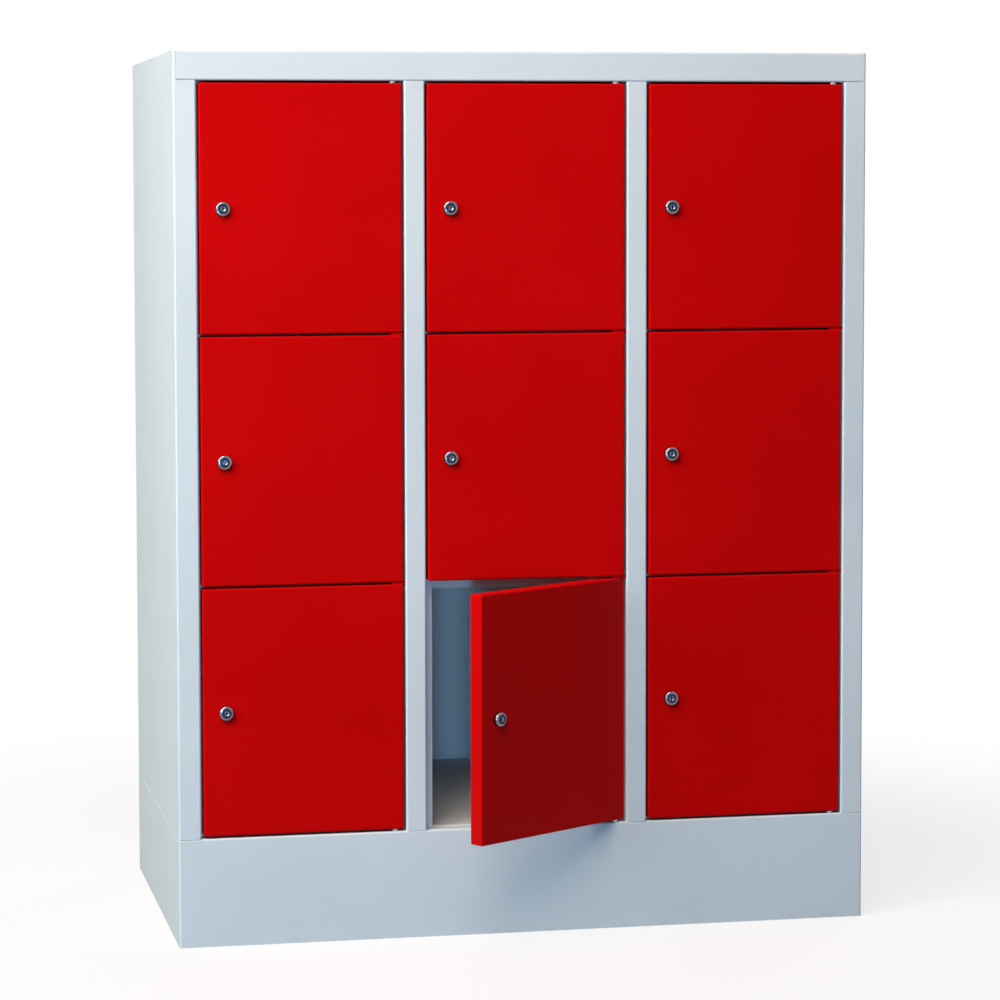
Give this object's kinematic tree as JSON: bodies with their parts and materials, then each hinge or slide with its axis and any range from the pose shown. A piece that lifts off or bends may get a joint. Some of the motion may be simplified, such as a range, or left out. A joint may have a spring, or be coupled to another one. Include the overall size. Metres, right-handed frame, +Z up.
{
  "type": "compartment locker",
  "caption": "Steel compartment locker on a plinth with a grid of hinged pan doors, each with a cam lock; a lower door stands ajar.",
  "frame": {"origin": "on the floor under the middle of the carcass", "axes": "+X to the right seen from the front, +Y from the front into the depth, +Z up"},
  "size_m": [0.92, 0.6315, 1.154],
  "materials": {
    "carcass_paint": "light grey powder coat, satin",
    "door_paint": "bright red powder coat, satin",
    "pin_steel": "zinc-plated hinge studs",
    "lock_chrome": "bright plated lock barrel and nut",
    "plug_steel": "turned lock plug, darker than its barrel",
    "cam_steel": "zinc-plated cam and screw"
  },
  "bodies": {
    "carcass": {"plinth": "carcass_paint", "side_left": "carcass_paint", "side_right": "carcass_paint", "top_panel": "carcass_paint", "back_panel": "carcass_paint", "floor_panel": "carcass_paint", "partition_1": "carcass_paint", "partition_2": "carcass_paint", "shelf_c1_r1": "carcass_paint", "shelf_c1_r2": "carcass_paint", "shelf_c2_r1": "carcass_paint", "shelf_c2_r2": "carcass_paint", "shelf_c3_r1": "carcass_paint", "shelf_c3_r2": "carcass_paint", "hinge_studs": "pin_steel", "hinge_lugs": "door_paint"},
    "door_c1_r1": {"door_c1_r1": "door_paint", "lock_body_c1_r1": "lock_chrome"},
    "lock_c1_r1": {"lock_plug_c1_r1": "plug_steel", "lock_cam_c1_r1": "cam_steel"},
    "door_c1_r2": {"door_c1_r2": "door_paint", "lock_body_c1_r2": "lock_chrome"},
    "lock_c1_r2": {"lock_plug_c1_r2": "plug_steel", "lock_cam_c1_r2": "cam_steel"},
    "door_c1_r3": {"door_c1_r3": "door_paint", "lock_body_c1_r3": "lock_chrome"},
    "lock_c1_r3": {"lock_plug_c1_r3": "plug_steel", "lock_cam_c1_r3": "cam_steel"},
    "door_c2_r1": {"door_c2_r1": "door_paint", "lock_body_c2_r1": "lock_chrome"},
    "lock_c2_r1": {"lock_plug_c2_r1": "plug_steel", "lock_cam_c2_r1": "cam_steel"},
    "door_c2_r2": {"door_c2_r2": "door_paint", "lock_body_c2_r2": "lock_chrome"},
    "lock_c2_r2": {"lock_plug_c2_r2": "plug_steel", "lock_cam_c2_r2": "cam_steel"},
    "door_c2_r3": {"door_c2_r3": "door_paint", "lock_body_c2_r3": "lock_chrome"},
    "lock_c2_r3": {"lock_plug_c2_r3": "plug_steel", "lock_cam_c2_r3": "cam_steel"},
    "door_c3_r1": {"door_c3_r1": "door_paint", "lock_body_c3_r1": "lock_chrome"},
    "lock_c3_r1": {"lock_plug_c3_r1": "plug_steel", "lock_cam_c3_r1": "cam_steel"},
    "door_c3_r2": {"door_c3_r2": "door_paint", "lock_body_c3_r2": "lock_chrome"},
    "lock_c3_r2": {"lock_plug_c3_r2": "plug_steel", "lock_cam_c3_r2": "cam_steel"},
    "door_c3_r3": {"door_c3_r3": "door_paint", "lock_body_c3_r3": "lock_chrome"},
    "lock_c3_r3": {"lock_plug_c3_r3": "plug_steel", "lock_cam_c3_r3": "cam_steel"}
  },
  "joints": [
    {"name": "door_c1_r1_hinge", "type": "hinge", "parent": "carcass", "child": "door_c1_r1", "pos_m": [-0.1755, -0.243, 0.9525], "axis": [0, 0, 1], "range_deg": [0, 110]},
    {"name": "lock_c1_r1_turn", "type": "hinge", "parent": "door_c1_r1", "child": "lock_c1_r1", "pos_m": [-0.3975, -0.25, 0.9525], "axis": [0, 1, 0], "range_deg": [0, 90]},
    {"name": "door_c1_r2_hinge", "type": "hinge", "parent": "carcass", "child": "door_c1_r2", "pos_m": [-0.1755, -0.243, 0.6285], "axis": [0, 0, 1], "range_deg": [0, 110]},
    {"name": "lock_c1_r2_turn", "type": "hinge", "parent": "door_c1_r2", "child": "lock_c1_r2", "pos_m": [-0.3975, -0.25, 0.6285], "axis": [0, 1, 0], "range_deg": [0, 90]},
    {"name": "door_c1_r3_hinge", "type": "hinge", "parent": "carcass", "child": "door_c1_r3", "pos_m": [-0.1755, -0.243, 0.3045], "axis": [0, 0, 1], "range_deg": [0, 110]},
    {"name": "lock_c1_r3_turn", "type": "hinge", "parent": "door_c1_r3", "child": "lock_c1_r3", "pos_m": [-0.3975, -0.25, 0.3045], "axis": [0, 1, 0], "range_deg": [0, 90]},
    {"name": "door_c2_r1_hinge", "type": "hinge", "parent": "carcass", "child": "door_c2_r1", "pos_m": [0.1205, -0.243, 0.9525], "axis": [0, 0, 1], "range_deg": [0, 110]},
    {"name": "lock_c2_r1_turn", "type": "hinge", "parent": "door_c2_r1", "child": "lock_c2_r1", "pos_m": [-0.1015, -0.25, 0.9525], "axis": [0, 1, 0], "range_deg": [0, 90]},
    {"name": "door_c2_r2_hinge", "type": "hinge", "parent": "carcass", "child": "door_c2_r2", "pos_m": [0.1205, -0.243, 0.6285], "axis": [0, 0, 1], "range_deg": [0, 110]},
    {"name": "lock_c2_r2_turn", "type": "hinge", "parent": "door_c2_r2", "child": "lock_c2_r2", "pos_m": [-0.1015, -0.25, 0.6285], "axis": [0, 1, 0], "range_deg": [0, 90]},
    {"name": "door_c2_r3_hinge", "type": "hinge", "parent": "carcass", "child": "door_c2_r3", "pos_m": [0.1205, -0.243, 0.3045], "axis": [0, 0, 1], "range_deg": [-32, 78]},
    {"name": "lock_c2_r3_turn", "type": "hinge", "parent": "door_c2_r3", "child": "lock_c2_r3", "pos_m": [-0.06406, -0.36658, 0.3045], "axis": [-0.5299, 0.848, 0], "range_deg": [0, 90]},
    {"name": "door_c3_r1_hinge", "type": "hinge", "parent": "carcass", "child": "door_c3_r1", "pos_m": [0.4165, -0.243, 0.9525], "axis": [0, 0, 1], "range_deg": [0, 110]},
    {"name": "lock_c3_r1_turn", "type": "hinge", "parent": "door_c3_r1", "child": "lock_c3_r1", "pos_m": [0.1945, -0.25, 0.9525], "axis": [0, 1, 0], "range_deg": [0, 90]},
    {"name": "door_c3_r2_hinge", "type": "hinge", "parent": "carcass", "child": "door_c3_r2", "pos_m": [0.4165, -0.243, 0.6285], "axis": [0, 0, 1], "range_deg": [0, 110]},
    {"name": "lock_c3_r2_turn", "type": "hinge", "parent": "door_c3_r2", "child": "lock_c3_r2", "pos_m": [0.1945, -0.25, 0.6285], "axis": [0, 1, 0], "range_deg": [0, 90]},
    {"name": "door_c3_r3_hinge", "type": "hinge", "parent": "carcass", "child": "door_c3_r3", "pos_m": [0.4165, -0.243, 0.3045], "axis": [0, 0, 1], "range_deg": [0, 110]},
    {"name": "lock_c3_r3_turn", "type": "hinge", "parent": "door_c3_r3", "child": "lock_c3_r3", "pos_m": [0.1945, -0.25, 0.3045], "axis": [0, 1, 0], "range_deg": [0, 90]}
  ]
}
